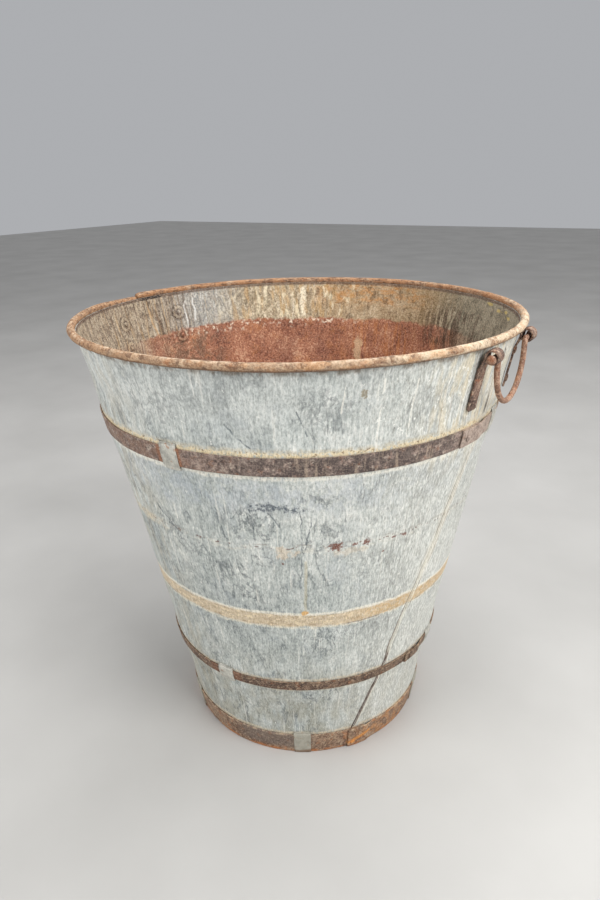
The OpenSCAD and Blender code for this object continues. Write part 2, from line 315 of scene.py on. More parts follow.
class Surface:
    """A material whose colour and relief are laid on in layers, in the tub's own coordinates.

    Its methods take millimetres and degrees, and colours as 0-255 display values.
    """

    def __init__(self, name, colour, roughness, metallic=0.0):
        self.material = bpy.data.materials.new(name)
        self.material.use_nodes = True
        self.tree = self.material.node_tree
        self.shader = self.tree.nodes["Principled BSDF"]
        self.shader.inputs["Metallic"].default_value = metallic
        self.shader.inputs["Roughness"].default_value = roughness
        self.place = self.node("ShaderNodeTexCoord").outputs["Object"]
        split = self.node("ShaderNodeSeparateXYZ", Vector=self.place)
        x, y, self.z = [Value(self.tree, split.outputs[i]) for i in range(3)]
        self.r = (x.squared() + y.squared()).root()
        self.az = y.math("ARCTAN2", x) * (180 / math.pi)
        off_wall = self.r - self.z * ((TOP_R - FOOT_R) / WALL_H) - FOOT_R * MM
        unrolled = self.node("ShaderNodeCombineXYZ")
        sides = (x / self.r * (TOP_R * MM), y / self.r * (TOP_R * MM), self.z + off_wall)
        for slot, value in zip(unrolled.inputs, sides):
            self.tree.links.new(value.socket, slot)
        self.unrolled = unrolled.outputs[0]
        self.colour = srgb(*colour)
        self.relief = None

    def node(self, kind, **links):
        made = self.tree.nodes.new(kind)
        for name, socket in links.items():
            self.tree.links.new(socket, made.inputs[name])
        return made

    def noise(self, width, length=None, seed=0.0, detail=5, rough=0.55, bend=0.0):
        """Noise of 0 to 1 about 0.5: lumps of that width, or streaks of that length up the wall."""
        scale = self.node("ShaderNodeMapping", Vector=self.unrolled if length else self.place)
        across, along = 1 / (width * MM), 1 / ((length or width) * MM)
        scale.inputs["Scale"].default_value = (across, across, along)
        scale.inputs["Location"].default_value = (seed, 2.3 * seed, 5.9 * seed)
        made = self.node("ShaderNodeTexNoise", Vector=scale.outputs[0])
        made.inputs["Scale"].default_value = 1.0
        made.inputs["Detail"].default_value = detail
        made.inputs["Roughness"].default_value = rough
        made.inputs["Distortion"].default_value = bend
        return Value(self.tree, made.outputs[0])

    def flecks(self, low, high, *size, **kind):
        """Mask of a noise, from 0 at low to 1 at high."""
        return self.noise(*size, **kind).step(low, high)

    def layer(self, colour, mask, amount=1.0, blend="MIX"):
        """Lays a colour over what is there where the mask is 1; one of four numbers is linear."""
        if isinstance(colour, tuple) and len(colour) == 3:
            colour = srgb(*colour)
        mix = self.node("ShaderNodeMix")
        mix.data_type = "RGBA"
        mix.blend_type = blend
        self.tree.links.new((mask * amount).socket, mix.inputs[0])
        for slot, item in ((mix.inputs[6], self.colour), (mix.inputs[7], colour)):
            if isinstance(item, tuple):
                slot.default_value = item
            else:
                self.tree.links.new(item, slot)
        self.colour = mix.outputs[2]

    def speckle(self, glint, amount, seed, length=None):
        """Scatters fine dark and light specks over what is there, and keeps its hue."""
        speck = self.noise(2.4, length, seed=seed, detail=2, rough=0.8)
        self.layer((0.5, 0.49, 0.48, 1.0), speck.step(0.49, 0.36), amount, blend="MULTIPLY")
        self.layer(glint, speck.step(0.51, 0.64), amount, blend="SCREEN")

    def ramp(self, value, *stops):
        """Takes the colour from (position, colour) pairs along a value."""
        node = self.node("ShaderNodeValToRGB", Fac=value.socket)
        points = node.color_ramp.elements
        while len(points) < len(stops):
            points.new(0.5)
        for point, (position, colour) in zip(points, stops):
            point.position = position
            point.color = srgb(*colour)
        self.colour = node.outputs[0]

    def raise_by(self, shape, depth):
        """Adds a shape of that depth to the relief."""
        height = shape * (depth * MM)
        self.relief = height if self.relief is None else self.relief + height

    def across(self, az):
        """Distance round the wall from a direction, in metres."""
        return (self.az - az) * self.r * (math.pi / 180)

    def above(self, low, high):
        """Mask that goes from 0 at one height to 1 at the other."""
        return self.z.fade(low, high)

    def patch(self, az, z, half_w, half_h, rag, size=12):
        """Mask of a ragged patch."""
        wide, tall = self.across(az) / (half_w * MM), (self.z - z * MM) / (half_h * MM)
        edge = self.noise(size, seed=az, detail=4, rough=0.65) - 0.5
        return ((wide.squared() + tall.squared()).root() + edge * (2 * rag)).step(1.0, 0.5)

    def line(self, start, end, half_w, rag, soft=0.6):
        """Mask of a thin wavering mark from one (direction, height) to another."""
        reach = math.radians(end[0] - start[0]) * wall_r((start[1] + end[1]) / 2)
        rise = end[1] - start[1]
        length = math.hypot(reach, rise)
        ux, uz = reach / length, rise / length
        waver = (self.noise(20, seed=start[0], detail=2) - 0.5) * (rag * MM)
        sx, sz = self.across(start[0]) + waver, self.z - start[1] * MM
        along = (sx * ux + sz * uz).math("MAXIMUM", 0.0).math("MINIMUM", length * MM)
        off = ((sx - along * ux).squared() + (sz - along * uz).squared()).root()
        return off.fade(half_w, half_w * (1 - soft))

    def band(self, low, high, soft, rag=0, size=30):
        """Mask of a band round the tub between two heights."""
        z = self.z
        if rag:
            z = z + (self.noise(size, seed=low * MM, rough=0.6) - 0.5) * (2 * rag * MM)
        return z.fade(low - soft, low + soft) * z.fade(high + soft, high - soft)

    def sector(self, az, half, soft, rag=0):
        """Mask of a stretch round the tub."""
        turn = (self.az - az + 540).math("FLOORED_MODULO", 360.0) - 180
        if rag:
            turn = turn + (self.noise(40, 250, seed=az, detail=4) - 0.5) * (2 * rag)
        return turn.size().step(half + soft, half - soft)

    def seam_distance(self):
        """Distance round the wall from the nearer seam, positive on the folded side, in metres."""
        apex_gap = SEAM_OFFSET * math.sin(TAPER)
        r = self.r.math("MINIMUM", TOP_R * MM)
        turn = (r.math("POWER", -1.0) * (apex_gap * MM)).math("ARCCOSINE") - math.acos(apex_gap / TOP_R)
        from_first = self.az - turn * (180 / math.pi / math.sin(TAPER))
        near = (from_first + 90).math("FLOORED_MODULO", 180.0) - 90
        return near * self.r * (math.pi / 180)

    def rust_colour(self):
        """Colour of deep red rust, speckled dark and orange."""
        before = self.colour
        speck = self.noise(4.5, seed=41, detail=4, rough=0.8)
        self.ramp(
            speck * 0.6 + self.noise(50, seed=42, rough=0.65) * 0.4,
            (0.38, (98, 56, 42)),
            (0.46, (148, 92, 68)),
            (0.54, (182, 122, 92)),
            (0.62, (222, 180, 146)),
        )
        self.layer((190, 124, 74), self.flecks(0.52, 0.66, 35, seed=43, detail=6, rough=0.7), 0.5)
        self.layer((112, 66, 56), self.flecks(0.52, 0.68, 75, seed=46), 0.45)
        rust = self.colour
        self.colour = before
        return rust

    def finished(self, bump):
        """The material, with its layers joined to the shader."""
        self.tree.links.new(self.colour, self.shader.inputs["Base Color"])
        node = self.node("ShaderNodeBump", Height=self.relief.socket)
        node.inputs["Strength"].default_value = bump
        node.inputs["Distance"].default_value = 1.0
        self.tree.links.new(node.outputs[0], self.shader.inputs["Normal"])
        return self.material


def outside_dirt(s, mottle):
    """Blue-grey clouds, olive dirt low down and at the left, fine dark flow lines and pale runs."""
    s.layer((150, 160, 168), s.flecks(0.5, 0.68, 70, 80, seed=6, rough=0.7), 0.3)
    s.layer((150, 162, 176), s.band(515, 570, 12, 20, 50) * mottle.step(0.42, 0.56), 0.35)
    s.layer((150, 145, 124), s.above(300, 100) * s.flecks(0.3, 0.64, 30, 40, seed=23), 0.6)
    s.layer((176, 162, 134), s.sector(-122, 22, 14, 6) * s.flecks(0.42, 0.6, 20, 50, seed=24, detail=3), 0.4)
    for width, length, seed, reach, amount in ((34, 80, 7, 0.04, 0.52), (20, 26, 26, 0.045, 0.54)):
        flow = (s.noise(width, length, seed=seed, detail=4, rough=0.6, bend=0.4) - 0.5).size()
        thin = flow.step(reach, 0.01) * s.flecks(0.5, 0.6, 70, seed=seed + 1, detail=3)
        s.layer((86, 94, 98), thin, amount)
    s.layer((240, 238, 228), s.flecks(0.62, 0.7, 9, 110, seed=9, detail=3), 0.5)


def outside_light_parts(s):
    """A paler top at the left, and a creamy, gritty right side with cream and tan streaks on it, its paleness
    partly a real tint and partly painted light.
    """
    s.layer((0.34, 0.345, 0.32, 1.0), s.sector(-92, 46, 20, 6) * s.above(600, 680), 0.6, blend="SCREEN")
    # The right side is whitened: partly a real creamier tint, partly painted light on the side the key light
    # falls on.
    tint_and_painted_light = s.sector(-2, 30, 20, 8) * s.flecks(0.1, 0.5, 30, 50, seed=10)
    s.layer((230, 229, 219), tint_and_painted_light, 0.45)
    grit = s.noise(3, 12, seed=212, detail=4, rough=0.75)
    gritty = s.sector(-4, 34, 14)
    s.layer((152, 148, 138), gritty * grit.step(0.49, 0.62), 0.55)
    s.layer((248, 247, 240), gritty * grit.step(0.49, 0.38), 0.6)
    cream = s.sector(-7, 18, 9, 8) * s.above(520, 620)
    s.layer((230, 214, 178), cream * s.flecks(0.42, 0.6, 14, 50, seed=25, detail=4), 0.6)
    s.layer((168, 132, 84), cream * s.flecks(0.6, 0.68, 4, 90, seed=204, detail=3), 0.5)


def hoop_crusts_and_rim_shade(s, dirt):
    """Crusts of dirt and white bloom along the hoops, and a brown band under the rim bar that is partly dirt
    and partly painted shade.
    """
    for edge, below, over, tint, amount in (
        (UPPER_HOOP[1], 2, 10, (208, 196, 168), 0.55), (UPPER_HOOP[1], 2, 5, (240, 222, 182), 0.95),
        (UPPER_HOOP[0], 6, 2, (240, 236, 222), 0.85), (LOWER_HOOP[1], 2, 4, (222, 208, 180), 0.7),
        (LOWER_HOOP[0], 4, 2, (210, 200, 176), 0.6), (FOOT_HOOP[1], 2, 5, (220, 206, 178), 0.75),
    ):
        s.layer(tint, s.band(edge - below, edge + over, 2.5, 6, 16) * dirt.step(0.34, 0.54), amount)
    rusty = s.band(UPPER_HOOP[1] + 1, UPPER_HOOP[1] + 7, 2, 5, 12)
    s.layer((112, 80, 54), rusty * dirt.step(0.55, 0.62), 0.85)
    # Band under the rim bar: brown stain from the rim, deepened with painted shade under the bar's overhang.
    under_rim = s.band(WALL_H - 10, WALL_H + 10, 3, 6)
    s.layer((126, 110, 92), under_rim * s.flecks(0.42, 0.58, 12, 20, seed=27, detail=4), 0.7)


def hoop_ghost(s, dirt):
    """The mark of a lost hoop: tan, with a pale line over it and a dark one under it."""
    ghost = s.band(303, 327, 2.5, 6, 30)
    s.layer((212, 190, 156), ghost, 0.85)
    s.layer((180, 158, 130), ghost * s.flecks(0.48, 0.6, 20, 6, seed=12, rough=0.75), 0.75)
    s.layer((236, 218, 184), ghost * s.flecks(0.5, 0.6, 14, 6, seed=13, rough=0.75), 0.85)
    s.layer((238, 230, 210), s.band(298, 303, 1.5, 6, 20) * dirt.step(0.4, 0.56), 0.7)
    s.layer((208, 172, 120), ghost * s.sector(-14, 26, 10, 8) * dirt.step(0.42, 0.56), 0.7)
    s.layer((242, 236, 220), s.band(326, 331, 1.5, 5, 20) * dirt.step(0.3, 0.5), 0.8)
    under = s.band(301.5, 303.5, 0.8, 2, 20)
    s.layer((116, 92, 70), under * s.flecks(0.48, 0.56, 60, seed=14, detail=3), 0.7)
    s.layer((228, 176, 96), s.patch(-56, 331, 9, 5, rag=1.4, size=8), 0.85)
    s.layer((190, 180, 146), s.line((-56, 336), (-55.5, 430), 3, 6), 0.5)


def faint_ghost(s, dirt):
    """The fainter mark of a second hoop, with rust specks and bare patches."""
    faint = s.band(447, 459, 3, 6, 30)
    s.layer((232, 228, 214), faint * s.flecks(0.46, 0.62, 20, 10, seed=15), 0.45)
    s.layer((150, 138, 122), s.band(460, 462, 1, 2) * s.flecks(0.5, 0.6, 40, seed=28, detail=3), 0.5)
    s.layer((222, 208, 178), s.sector(-116, 14, 6) * s.band(446, 462, 3, 12) * dirt.step(0.4, 0.55), 0.7)
    specks = s.band(454, 459, 1.5, 3) * s.flecks(0.56, 0.62, 7, 5, seed=16, detail=3)
    s.layer((104, 66, 50), specks, 0.9)
    s.layer((232, 208, 176), s.patch(-61, 446, 18, 12, rag=1.8), 0.5)
    s.layer((226, 206, 176), s.patch(-44, 443, 26, 9, rag=1.8), 0.35)
    for az, z, half_w, half_h in (
        (-47.2, 454, 12, 8), (-42.0, 455, 5, 4), (-38.8, 456, 6, 8), (-26.5, 452, 5, 3.5),
        (-61.9, 427, 3, 3), (-30, 453, 4, 2), (-33, 431, 2.5, 2),
    ):
        s.layer((118, 68, 50), s.patch(az, z, half_w, half_h, rag=1.8, size=5), 0.95)


def cracks_crease_shade_and_drips(s):
    """A dark smudge, dark cracks in the zinc, painted shade along two creases and pale drips from the rim."""
    smudge = s.patch(-63, 524, 42, 8, rag=1.8)
    s.layer((70, 80, 92), smudge * s.flecks(0.38, 0.54, 7, 4, seed=17, detail=4), 0.85)
    # Dark lines: cracks in the zinc, but those from (-73, 648) and (-57, 668) are painted shade along the
    # creases there.
    for start, end, width in (
        ((-69.6, 520), (-68.8, 468), 1.8), ((-65, 514), (-62.5, 492), 1.6), ((-53.5, 519), (-55.5, 462), 1.8),
        ((-79, 516), (-77.5, 460), 1.8), ((-56.6, 520), (-57, 400), 1.1), ((-73, 648), (-67.8, 616), 1.8),
        ((-57, 668), (-54.9, 634), 1.6), ((-102, 490), (-95, 455), 2), ((-98, 462), (-93, 452), 1.6),
    ):
        mark = s.line(start, end, width, 12) * s.flecks(0.3, 0.55, 12, seed=18, detail=3)
        s.layer((86, 96, 102), mark, 0.75)
    for az, top, foot in (
        (-38.8, 706, 600), (-31, 700, 620), (-15, 680, 612), (-47, 700, 665), (-22, 700, 640),
    ):
        drip = s.line((az, top), (az - 0.6, foot), 2, 5)
        s.layer((242, 239, 228), drip * s.flecks(0.4, 0.5, 5, 20, seed=19, detail=3), 0.7)


def pale_chips(s):
    """Pale chips high up and all over, a pale scribble low down and a brown spot under the rim."""
    chips = s.flecks(0.64, 0.67, 10, 11, seed=20, detail=3) * s.sector(-28, 18, 10)
    s.layer((246, 245, 238), chips * s.band(615, 710, 20), 0.9)
    s.layer((246, 245, 238), s.flecks(0.69, 0.71, 8, 9, seed=21, detail=3), 0.6)
    scribble = (s.noise(12, seed=29, detail=3, bend=1.0) - 0.5).size().step(0.05, 0.01)
    s.layer((228, 230, 226), scribble * s.patch(-44, 284, 34, 13, rag=1.0), 0.6)
    s.layer((132, 114, 76), s.patch(-43, 690, 7, 7, rag=2.2, size=6), 0.7)


def seam_lines(s):
    """Dark grooves on both sides of the folded seam and finer lines beside them, rusty low down."""
    seam = s.seam_distance()
    upper = s.above(300, 360)
    s.layer((236, 230, 216), (seam - 5 * MM).size().fade(16, 7) * upper, 0.4)
    for side, half_w, tint, fresh, where in (
        (0.2, 1.7, (108, 100, 90), 0.38, None), (SEAM_W, 1.7, (104, 96, 86), 0.38, None),
        (13, 1.1, (168, 148, 118), 0.42, upper), (-6, 0.9, (150, 140, 122), 0.46, upper),
    ):
        groove = (seam - side * MM).size().fade(half_w, 0.4)
        if where:
            groove = groove * where
        s.layer(tint, groove * s.flecks(fresh, fresh + 0.14, 20, 50, seed=22, detail=3), 0.8)
    s.layer((84, 58, 44), (seam - 0.6 * MM).size().fade(2.4, 0.8) * s.above(340, 200), 0.85)
    s.layer((236, 230, 212), (seam - SEAM_W / 2 * MM).size().fade(3.4, 1.6), 0.45)


def galvanised_outside():
    """Weathered zinc: brushed by rain, stained by the hoops, with the ghosts of two hoops that are gone."""
    s = Surface("galvanised_outside", (180, 184, 180), roughness=0.62, metallic=0.1)
    cloud = s.noise(150, 200, seed=1, detail=2)
    mottle = s.noise(22, 26, seed=2, detail=6, rough=0.72, bend=0.3)
    streak = s.noise(4.5, 26, seed=3, detail=3, rough=0.65)
    grain = s.noise(3.6, 5, seed=4, detail=3, rough=0.75)
    tone = cloud * 0.22 + mottle * 0.23 + streak * 0.29 + grain * 0.26
    s.ramp(
        tone,
        (0.38, (122, 127, 127)),
        (0.44, (160, 166, 163)),
        (0.50, (190, 195, 190)),
        (0.56, (213, 215, 209)),
        (0.63, (243, 243, 236)),
    )
    outside_dirt(s, mottle)
    outside_light_parts(s)
    dirt = s.noise(6, seed=11, rough=0.7)
    hoop_crusts_and_rim_shade(s, dirt)
    hoop_ghost(s, dirt)
    faint_ghost(s, dirt)
    cracks_crease_shade_and_drips(s)
    pale_chips(s)
    seam_lines(s)
    s.speckle((0.36, 0.36, 0.34, 1.0), 0.5, seed=201, length=6)
    s.raise_by(mottle, 0.7)
    s.raise_by(streak, 0.25)
    s.raise_by(grain, 0.3)
    return s.finished(0.8)


def inside_stains(s, mottle, streak, grain):
    """The drips above the tide line: bare zinc, brown, orange, olive and buff, each on its own stretch, with
    painted shade over the far left and, in part, over the olive on the right.
    """
    bare = s.sector(160, 11, 12, 4)
    s.layer((168, 172, 170), bare, 0.65)
    s.layer((130, 138, 142), bare * grain.step(0.52, 0.4), 0.7)
    s.layer((216, 218, 214), bare * (grain + streak).step(1.04, 1.16), 0.7)
    # Painted shade over the far left of the inside, with dark brown patches and pale streaks on it.
    shade = s.sector(-166, 28, 8, 6)
    s.layer((152, 138, 122), shade, 0.5)
    s.layer((98, 84, 72), shade * (grain + mottle).step(1.04, 0.88), 0.7)
    s.layer((206, 184, 150), shade * streak.step(0.54, 0.66), 0.5)
    s.layer((176, 144, 104), s.sector(94, 22, 8, 8), 0.5)
    orange = s.sector(97, 19, 7, 8) * s.band(685, 740, 12, 20)
    s.layer((196, 140, 80), orange * s.flecks(0.42, 0.6, 20, 10, seed=35, detail=6, rough=0.75), 0.8)
    s.layer((96, 76, 52), s.sector(88, 34, 8, 8) * s.flecks(0.55, 0.64, 12, 16, seed=45), 0.6)
    s.layer((136, 112, 70), s.sector(70, 13, 9, 8) * streak.step(0.36, 0.6), 0.75)
    # Olive stain on the inside right, darkened in part with painted shade.
    olive = s.sector(40, 26, 10, 7)
    s.layer((138, 136, 118), olive, 0.65)
    s.layer((92, 88, 72), olive * mottle.step(0.5, 0.4), 0.6)
    s.layer((230, 222, 202), s.flecks(0.6, 0.7, 6, 50, seed=36) * s.sector(150, 38, 12), 0.6)
    buff = s.sector(126, 24, 10, 8)
    s.layer((198, 160, 106), buff * s.flecks(0.5, 0.62, 12, 50, seed=205), 0.6)
    s.layer((246, 232, 198), buff * s.flecks(0.55, 0.65, 12, 30, seed=206), 0.7)
    s.layer((112, 96, 68), buff * s.flecks(0.54, 0.64, 10, 30, seed=207), 0.5)
    left = s.sector(-172, 30, 8, 6)
    s.layer((84, 66, 50), left * s.flecks(0.53, 0.64, 7, 90, seed=208), 0.65)
    s.layer((186, 154, 110), left * s.flecks(0.55, 0.66, 6, 90, seed=209), 0.5)
    s.layer((196, 158, 104), s.flecks(0.6, 0.7, 8, 70, seed=37) * s.sector(-172, 24, 10), 0.6)


def inside_runs(s, grain):
    """Single runs of pale and brown drips from the rim."""
    s.layer((250, 238, 210), s.line((121.6, 712), (121.8, 664), 9, 20, soft=0.8) * grain.step(0.36, 0.5), 0.9)
    for start, end, width, tint in (
        ((164.8, 707), (165.4, 650), 3, (240, 238, 230)), ((161.4, 711), (161.4, 670), 2.4, (232, 232, 226)),
        ((208.3, 698), (208.4, 679), 2.4, (236, 234, 224)), ((180.3, 720), (178.1, 640), 4, (188, 156, 116)),
        ((193.8, 719), (189.9, 648), 5, (222, 198, 158)), ((177, 700), (175.4, 640), 4, (98, 76, 56)),
    ):
        run = s.line(start, end, width, 12, soft=0.8)
        s.layer(tint, run * s.flecks(0.3, 0.46, 6, 20, seed=210, detail=3), 0.85)


def inside_rust(s, mottle, streak):
    """Red rust below the tide line, speckled, with white bloom along its top."""
    swell = (s.noise(90, seed=38, detail=4) - 0.5) * (26 * MM)
    tide = s.z + (swell + (s.noise(12, seed=39, detail=4) - 0.5) * (14 * MM))
    below = tide.fade(657, 651)
    fade = s.sector(122, 60, 9, 8)
    rust = s.rust_colour()
    s.layer(rust, below * (fade * 0.85 + 0.15), 1.0)
    s.layer(rust, s.above(600, 450), 1.0)
    s.layer((104, 80, 62), s.sector(166, 12, 9, 6) * s.above(660, 640) * mottle.step(0.62, 0.42), 0.8)
    s.layer((196, 122, 62), s.sector(91, 14, 8, 8) * s.above(660, 640) * streak.step(0.46, 0.6), 0.5)
    bloom = (tide - 646 * MM).size().fade(13, 2) * s.flecks(0.54, 0.62, 8, seed=40, detail=4)
    s.layer((240, 222, 198), bloom * s.sector(136, 32, 10), 0.9)
    s.layer((222, 190, 150), s.patch(101, 592, 12, 32, rag=1.4, size=14), 0.65)
    s.layer((70, 54, 40), s.sector(62, 14, 8, 6) * s.band(620, 690, 10, 30) * streak.step(0.46, 0.56), 0.8)
    for az, z in ((36, 716), (47, 719), (41, 713), (33, 709)):
        s.layer((206, 184, 110), s.patch(az, z, 11, 3, rag=1.6, size=7), 0.8)


def washer_rings(s):
    """A dark ring of painted shadow round each of the eight washers, a faint pale ring on each washer and a
    dark ring round each rivet tail, alike on both sides.
    """
    eye_az = math.degrees(math.atan2(EYE_Y, EYE_X))
    fold = (s.az.size() - 90).size() * -1 + (90 - eye_az)
    low, high = STRAP_RIVET_Z
    rise = (s.z - (low + high) / 2 * MM).size() - (high - low) / 2 * MM
    far = ((fold * s.r * (math.pi / 180)).squared() + (rise / math.cos(TAPER)).squared()).root()
    crumbs = s.flecks(0.34, 0.5, 6, seed=211, detail=3)
    # Painted shadow round the washer's edge.
    s.layer((70, 52, 40), (far - 14.6 * MM).size().fade(3.2, 1.0) * crumbs, 0.42)
    s.layer((206, 184, 150), (far - 10 * MM).size().fade(3, 1.2) * crumbs, 0.25)
    s.layer((78, 58, 44), (far - 6.2 * MM).size().fade(2, 0.7), 0.45)


def rusted_inside():
    """The inside: grey and buff drips above a tide line, red rust below it."""
    s = Surface("rusted_inside", (170, 158, 136), roughness=0.85)
    mottle = s.noise(24, seed=31, detail=6, rough=0.75, bend=0.4)
    streak = s.noise(7, 50, seed=32, detail=4, rough=0.7)
    grain = s.noise(4, 5, seed=33, detail=3, rough=0.8)
    s.ramp(
        mottle * 0.3 + streak * 0.16 + grain * 0.54,
        (0.38, (104, 90, 70)),
        (0.45, (148, 132, 106)),
        (0.50, (178, 162, 134)),
        (0.56, (206, 190, 162)),
        (0.63, (236, 224, 198)),
    )
    inside_stains(s, mottle, streak, grain)
    inside_runs(s, grain)
    inside_rust(s, mottle, streak)
    washer_rings(s)

    # Dark brown joint under the rim bar, partly rust and partly painted shade under the bar, with a
    # near-black painted shadow in the gap where the bar's end is sprung open
    s.layer((74, 52, 38), s.above(WALL_H - 7, WALL_H - 3), 0.85)
    s.layer((20, 15, 12), s.sector(RIM_JOINT - 4.6, 4.4, 0.8) * s.above(WALL_H - 5.5, WALL_H - 4), 0.95)

    s.speckle((0.26, 0.18, 0.13, 1.0), 0.8, seed=202)
    s.raise_by(mottle, 0.6)
    s.raise_by(grain, 0.9)
    s.raise_by(streak, 0.4)
    return s.finished(0.9)


def rusted_plate():
    """The tub's floor: the same rust, darker in the corner and with a pale tide of dirt."""
    s = Surface("rusted_plate", (160, 106, 80), roughness=0.88)
    s.colour = s.rust_colour()
    lumps = s.noise(60, seed=171, rough=0.65)
    s.layer((112, 84, 66), s.r.fade(140, 205) * lumps.step(0.36, 0.56), 0.6)
    s.layer((186, 160, 128), (lumps - 0.5).size().step(0.03, 0.01), 0.4)
    grit = s.noise(4, seed=172, detail=3, rough=0.7)
    s.raise_by(lumps, 1.2)
    s.raise_by(grit, 0.8)
    return s.finished(0.9)


def iron(name, dark, mid, light, bloom, dust, seed, dusty=0.65, lump=(18,), roughness=0.8, layers=None):
    """Rusted iron: a scaly ramp of three colours, with a bloom of bright rust and pale dust on it."""
    s = Surface(name, mid, roughness=roughness)
    scale = s.noise(*lump, seed=seed + 1, rough=0.65)
    grit = s.noise(4.5, seed=seed + 2, detail=3, rough=0.7)
    tone = scale * 0.5 + grit * 0.5
    s.ramp(tone, (0.40, dark), (0.5, mid), (0.60, light))
    s.layer(bloom, s.flecks(0.55, 0.68, 11, seed=seed + 3, detail=4, rough=0.6), 0.7)
    s.layer(dust, s.flecks(0.53, 0.64, 7, seed=seed + 4, detail=4, rough=0.7), dusty)
    if layers:
        layers(s)
    s.speckle((0.2, 0.15, 0.11, 1.0), 0.7, seed=seed + 5)
    s.raise_by(scale, 0.8)
    s.raise_by(grit, 0.35)
    return s.finished(0.9)


def rim_layers(s):
    """The rim bar: brown on the left and at the back, pale and orange on the right at the front, with a pale
    top that is partly dust and wear and partly painted highlight, and painted shade on its underside.
    """
    blotch = s.noise(30, 10, seed=51, detail=6, rough=0.7)
    chips = s.noise(12, 5, seed=56, detail=4, rough=0.7)
    rusty = s.noise(30, 10, seed=53)
    for where, spots, tint, amount in (
        ((-76, 44, 12, 8), blotch.step(0.4, 0.6), (184, 158, 130), 0.5),
        ((-8, 30, 14, 8), blotch.step(0.4, 0.54), (230, 210, 180), 0.7),
        ((-14, 62, 16, 8), rusty.step(0.5, 0.6), (200, 148, 100), 0.5),
        ((-150, 62, 20, 8), rusty.step(0.36, 0.56), (176, 132, 92), 0.6),
        ((110, 80, 20, 8), rusty.step(0.36, 0.56), (172, 118, 74), 0.65),
        ((135, 75, 16), chips.step(0.5, 0.4), (78, 52, 38), 0.75),
        ((-80, 74, 16), chips.step(0.47, 0.37), (104, 74, 54), 0.7),
    ):
        s.layer(tint, s.sector(*where) * spots, amount)
    # Pale top of the bar, stronger at the front: partly dust and wear, partly a painted highlight.
    worn = s.above(RIM_Z + 2, RIM_Z + 6) * chips.step(0.48, 0.58)
    s.layer((240, 222, 194), worn * (s.sector(-50, 90, 20) * 0.7 + 0.3), 0.55)
    # Darker underside of the bar: painted shade.
    s.layer((92, 64, 48), s.above(RIM_Z - 2, RIM_Z - 6), 0.7)


def upper_hoop_layers(s):
    """The upper hoop: purple-black at the front, a pale dusty lap, orange by the keepers, and a painted
    shadow line at one keeper's edge.
    """
    s.layer((74, 64, 62), s.sector(-42, 27, 10, 6) * s.flecks(0.38, 0.54, 12, seed=61), 0.75)
    s.layer((126, 94, 76), s.sector(-105, 24, 10, 6) * s.flecks(0.4, 0.56, 12, seed=65), 0.6)
    smear = s.flecks(0.56, 0.68, 6, 50, seed=62, detail=3) * s.sector(-38, 22, 8)
    s.layer((176, 156, 136), smear, 0.6)
    lap = s.sector((LAP_START + KEEPERS[0]) / 2, (KEEPERS[0] - LAP_START) / 2, 0.4)
    s.layer((186, 166, 152), lap * s.flecks(0.3, 0.6, 8, seed=63, rough=0.7), 0.9)
    s.layer((150, 96, 64), s.sector(-92.0, 0.8, 0.7, 1), 0.7)
    s.layer((150, 94, 58), s.sector(-86.1, 0.5, 0.4, 0.5), 0.75)
    # Near-black line at the edge of the keeper at 271 degrees: painted shadow in the slit between keeper and
    # hoop.
    s.layer((38, 30, 26), s.sector(-86.7, 0.2, 0.12), 0.9)
    edge = (s.z - sum(UPPER_HOOP) / 2 * MM).size().fade(13, 15)
    s.layer((196, 170, 140), edge * s.flecks(0.42, 0.6, 10, seed=64, detail=4), 0.5)


def lower_hoop_layers(s):
    """The lower hoop: dark brown with a worn upper edge."""
    edge = s.above(LOWER_HOOP[1] - 3, LOWER_HOOP[1] - 1)
    s.layer((170, 146, 120), edge * s.flecks(0.42, 0.6, 10, seed=71, detail=4), 0.6)
    s.layer((132, 84, 58), s.sector(-94.5, 2, 1.5, 3) + s.sector(-84, 2, 1.5, 3), 0.5)


def foot_hoop_layers(s):
    """The foot hoop: brown, greyer in front, with orange along the floor and one bright streak."""
    s.layer((104, 94, 88), s.sector(-72, 16, 6, 5) * s.band(12, 50, 4, 4), 0.65)
    s.layer((192, 116, 54), s.band(-10, 7, 4, 5, 20) * s.flecks(0.4, 0.6, 30, seed=81, detail=3), 0.8)
    s.layer((214, 140, 60), s.line((-37, 12), (-27, 26), 7, 10, soft=0.9), 0.85)
    s.layer((188, 134, 84), s.sector(-15, 16, 8, 6) * s.flecks(0.44, 0.6, 14, seed=82, detail=4), 0.7)
    s.layer((200, 178, 150), s.above(40, 45) * s.flecks(0.45, 0.6, 10, seed=83, detail=4), 0.6)


def soldered_zinc():
    """The keepers: dull zinc, smeared solder and a little rust at the edges."""
    s = Surface("soldered_zinc", (182, 182, 174), roughness=0.55, metallic=0.2)
    smear = s.noise(12, seed=91, rough=0.6)
    grit = s.noise(2.5, seed=92, detail=4, rough=0.7)
    s.ramp(
        smear * 0.6 + grit * 0.4,
        (0.34, (140, 138, 130)),
        (0.5, (186, 184, 174)),
        (0.66, (218, 214, 202)),
    )
    s.layer((166, 112, 72), s.flecks(0.6, 0.7, 8, seed=93, detail=4), 0.7)
    s.layer((150, 144, 126), s.above(70, 60), 0.55)
    s.layer((120, 84, 54), s.band(-10, 9, 4, 8), 0.8)
    s.raise_by(smear, 0.8)
    s.raise_by(grit, 0.2)
    return s.finished(0.8)


